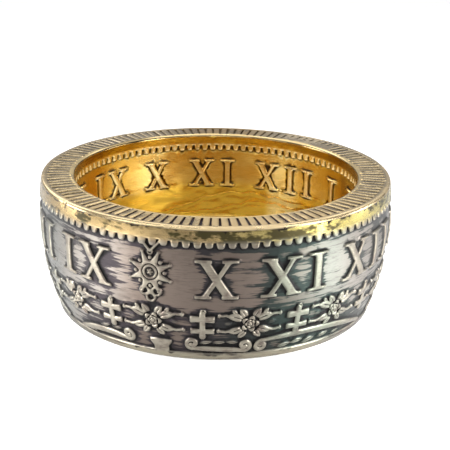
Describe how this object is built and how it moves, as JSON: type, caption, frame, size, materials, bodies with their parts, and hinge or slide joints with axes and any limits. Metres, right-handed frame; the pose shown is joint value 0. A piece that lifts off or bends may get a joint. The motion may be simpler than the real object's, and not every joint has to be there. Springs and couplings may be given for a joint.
{
  "type": "coin ring",
  "caption": "Finger ring folded from a coin: reeded wide end, toothed rims, raised numerals inside and out, and a band of crosses, rosettes and scrolls.",
  "frame": {"origin": "centre of the plane that the narrow end stands on, on the ring's axis", "axes": "+Z along the ring's axis, from the narrow end up to the reeded wide end; the star pendant of the outer ornament is 109 degrees clockwise from +X, seen from above"},
  "size_m": [0.0236, 0.0236, 0.009],
  "materials": {
    "silver": "worn silver, darkened in the hollows and gilded by toning inside and on the rim"
  },
  "bodies": {
    "root": {"coin_ring": "silver"}
  },
  "joints": []
}
